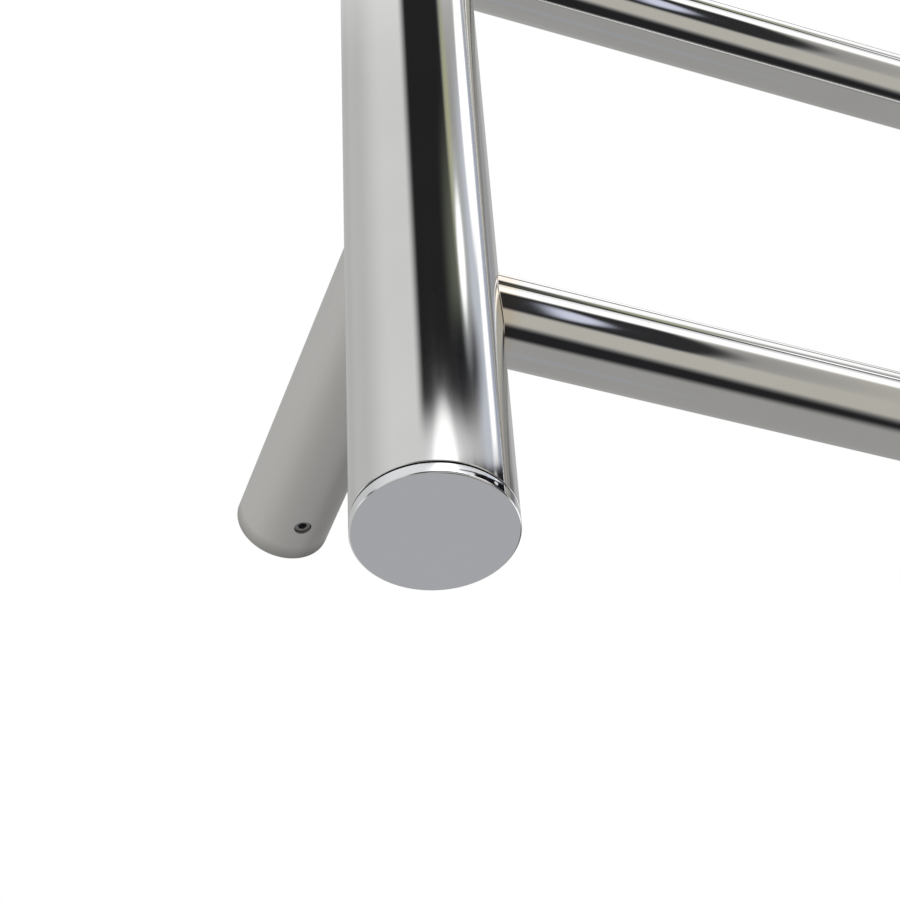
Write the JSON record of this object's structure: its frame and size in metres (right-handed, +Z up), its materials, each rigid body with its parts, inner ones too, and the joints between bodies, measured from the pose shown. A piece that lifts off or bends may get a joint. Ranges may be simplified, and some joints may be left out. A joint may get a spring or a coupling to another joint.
{
  "type": "towel warmer rack",
  "caption": "Wall-mounted electric towel warmer rack: round posts with flat end caps, welded crossbars, slip-on wall standoffs and a rocker switch in one end.",
  "frame": {"origin": "centre of the four wall-screw holes, on the wall's surface", "axes": "+X to the right along the crossbars, +Y into the wall, +Z up along the posts"},
  "size_m": [0.5, 0.12, 0.8017],
  "materials": {
    "polished_steel": "mirror-polished stainless tube with faint lengthwise polishing lines",
    "mirror_cap": "mirror-polished flat end caps",
    "satin_steel": "satin stainless standoffs",
    "bracket_zinc": "bright zinc-plated turned steel",
    "fastener_steel": "plain steel screws and rivet nuts",
    "brass": "plain machined brass",
    "nickel_brass": "nickel-plated brass gland",
    "black_rubber": "matte moulded rubber",
    "cable_sheath": "red silicone sheath of the heating cable",
    "lead_sheath": "insulated leads",
    "white_ceramic": "glazed terminal block and thermal cut-out",
    "black_switch": "fine-textured black switch plastic",
    "red_lens": "glossy red pilot lamp lens"
  },
  "bodies": {
    "rack": {"left_post": "polished_steel", "right_post": "polished_steel", "crossbar_1": "polished_steel", "crossbar_2": "polished_steel", "crossbar_3": "polished_steel", "crossbar_4": "polished_steel", "crossbar_5": "polished_steel", "crossbar_6": "polished_steel", "cap_top_left": "mirror_cap", "cap_top_right": "mirror_cap", "cap_bottom_left": "mirror_cap", "switch_cap": "mirror_cap", "standoff_lower_left": "satin_steel", "standoff_lower_right": "satin_steel", "standoff_upper_left": "satin_steel", "standoff_upper_right": "satin_steel", "wall_bracket_lower_left": "bracket_zinc", "wall_bracket_lower_right": "bracket_zinc", "wall_bracket_upper_left": "bracket_zinc", "wall_bracket_upper_right": "bracket_zinc", "standoff_plugs": "satin_steel", "standoff_bolts": "fastener_steel", "rivet_nuts": "fastener_steel", "grub_screws": "fastener_steel", "heating_cable": "cable_sheath", "thermal_cutout": "white_ceramic", "cold_tail": "lead_sheath", "terminal_block": "white_ceramic", "switch_leads": "lead_sheath", "earth_screw": "brass", "earth_lug": "brass", "earth_nut": "brass", "earth_lead": "lead_sheath", "gland_seat": "black_rubber", "gland_body": "nickel_brass", "gland_locknut": "nickel_brass", "gland_seal": "black_rubber", "gland_nut": "nickel_brass", "switch_housing": "black_switch", "switch_terminals": "brass"},
    "rocker": {"switch_rocker": "black_switch", "rocker_lens": "red_lens"}
  },
  "joints": [
    {"name": "rocker_tilt", "type": "hinge", "parent": "rack", "child": "rocker", "pos_m": [0.234, -0.104, -0.3975], "axis": [-1, 0, 0], "range_deg": [0, 22]}
  ]
}
